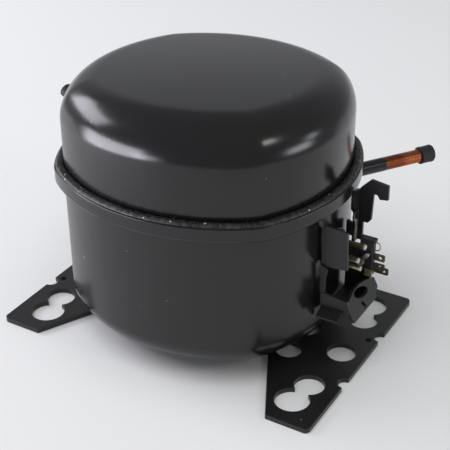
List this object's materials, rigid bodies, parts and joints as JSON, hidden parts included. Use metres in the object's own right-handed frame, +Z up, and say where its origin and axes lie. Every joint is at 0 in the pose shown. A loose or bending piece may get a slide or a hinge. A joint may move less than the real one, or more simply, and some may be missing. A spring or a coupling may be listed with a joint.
{
  "type": "hermetic reciprocating compressor",
  "caption": "Sealed oval motor-compressor in a welded black steel casing on two foot plates, with stub tubes and starter terminals; it pumps refrigerant gas.",
  "frame": {"origin": "centre of the four inner foot holes, on the underside of the foot plates", "axes": "+X along the foot plates towards the electrical terminals, +Z up, +Y to the back"},
  "size_m": [0.2387, 0.201, 0.1573],
  "materials": {
    "casing_paint": "gloss",
    "bracket_paint": "satin",
    "weld": "rough gloss",
    "copper": "satin",
    "cap_rubber": "matt",
    "zinc": "satin",
    "pin_brass": "satin",
    "bead_glass": "gloss",
    "relay_plastic": "matt",
    "white_plastic": "matt",
    "cast": "matt",
    "steel": "satin",
    "spring_steel": "gloss",
    "lamination": "matt",
    "winding": "gloss",
    "cast_aluminium": "satin",
    "gasket": "matt"
  },
  "bodies": {
    "casing": {"lower_shell": "casing_paint", "upper_shell": "casing_paint", "weld_seam": "weld", "foot_plate_right": "bracket_paint", "foot_plate_left": "bracket_paint", "suction_tube": "copper", "suction_collar": "casing_paint", "suction_cap": "cap_rubber", "process_tube": "copper", "process_collar": "casing_paint", "process_cap": "cap_rubber", "discharge_tube": "copper", "discharge_collar": "casing_paint", "discharge_cap": "cap_rubber", "terminal_header": "casing_paint", "terminal_glass": "bead_glass", "terminal_pins": "pin_brass", "lead_connector": "white_plastic", "fence_plate": "bracket_paint", "fence_strap": "bracket_paint", "fence_tray": "bracket_paint", "tray_tab": "bracket_paint", "cover_hook": "bracket_paint", "relay_body": "relay_plastic", "relay_blades": "pin_brass", "relay_wire": "zinc", "relay_screw": "zinc", "relay_lug": "pin_brass", "common_blade": "pin_brass", "earth_strap": "bracket_paint", "lower_spring_seats": "steel"},
    "pump": {"crankcase": "cast", "main_bearing": "steel", "stator_core": "lamination", "stator_winding": "winding", "stator_bolts": "zinc", "upper_spring_seats": "white_plastic", "suspension_springs": "spring_steel", "cylinder_gasket": "gasket", "valve_plate": "steel", "head_gasket": "gasket", "cylinder_head": "cast_aluminium", "discharge_stop": "steel", "head_screws": "zinc", "suction_muffler": "white_plastic", "discharge_muffler": "steel", "discharge_loop": "steel"},
    "crank": {"crankshaft": "steel", "counterweight": "steel", "rotor_core": "lamination", "rotor_cage": "cast_aluminium", "oil_pickup": "steel"},
    "slide": {"slide_block": "cast"},
    "oil_plug": {"yoke_oil_plug": "zinc"},
    "yoke": {"yoke_tube": "steel", "piston": "steel"},
    "suction_flap": {"suction_reed": "spring_steel"},
    "discharge_flap": {"discharge_reed": "spring_steel"}
  },
  "joints": [
    {"name": "suspension", "type": "slide", "parent": "casing", "child": "pump", "axis": [0, 0, 1], "range_m": [-0.003, 0.003], "stiffness_N_per_m": 12500, "springref_m": 0.00329, "deforming": ["suspension_springs", "discharge_loop"]},
    {"name": "crank_spin", "type": "hinge", "parent": "pump", "child": "crank", "pos_m": [-0.0015, 0.006, 0.1], "axis": [0, 0, 1], "continuous": true},
    {"name": "slide_block_turn", "type": "hinge", "parent": "crank", "child": "slide", "pos_m": [-0.0015, 0.015, 0.122], "axis": [0, 0, 1], "continuous": true},
    {"name": "oil_plug_turn", "type": "hinge", "parent": "crank", "child": "oil_plug", "pos_m": [-0.0015, 0.0105, 0.135], "axis": [0, 0, 1], "continuous": true},
    {"name": "yoke_reciprocation", "type": "hinge", "parent": "oil_plug", "child": "yoke", "pos_m": [-0.0015, 0.006, 0.122], "axis": [0, 0, 1], "continuous": true},
    {"name": "suction_reed_flex", "type": "hinge", "parent": "pump", "child": "suction_flap", "pos_m": [-0.0504, 0.011, 0.1305], "axis": [0, -1, 0], "range_deg": [0, 3.5], "stiffness_Nm_per_rad": 0.02},
    {"name": "discharge_reed_flex", "type": "hinge", "parent": "pump", "child": "discharge_flap", "pos_m": [-0.0537, 0, 0.1305], "axis": [0, 1, 0], "range_deg": [0, 5], "stiffness_Nm_per_rad": 0.02}
  ],
  "couplings": [
    {"joint": "slide_block_turn", "follows": "crank_spin", "ratio": -1},
    {"joint": "oil_plug_turn", "follows": "crank_spin", "ratio": -2},
    {"joint": "yoke_reciprocation", "follows": "crank_spin", "ratio": 1}
  ]
}
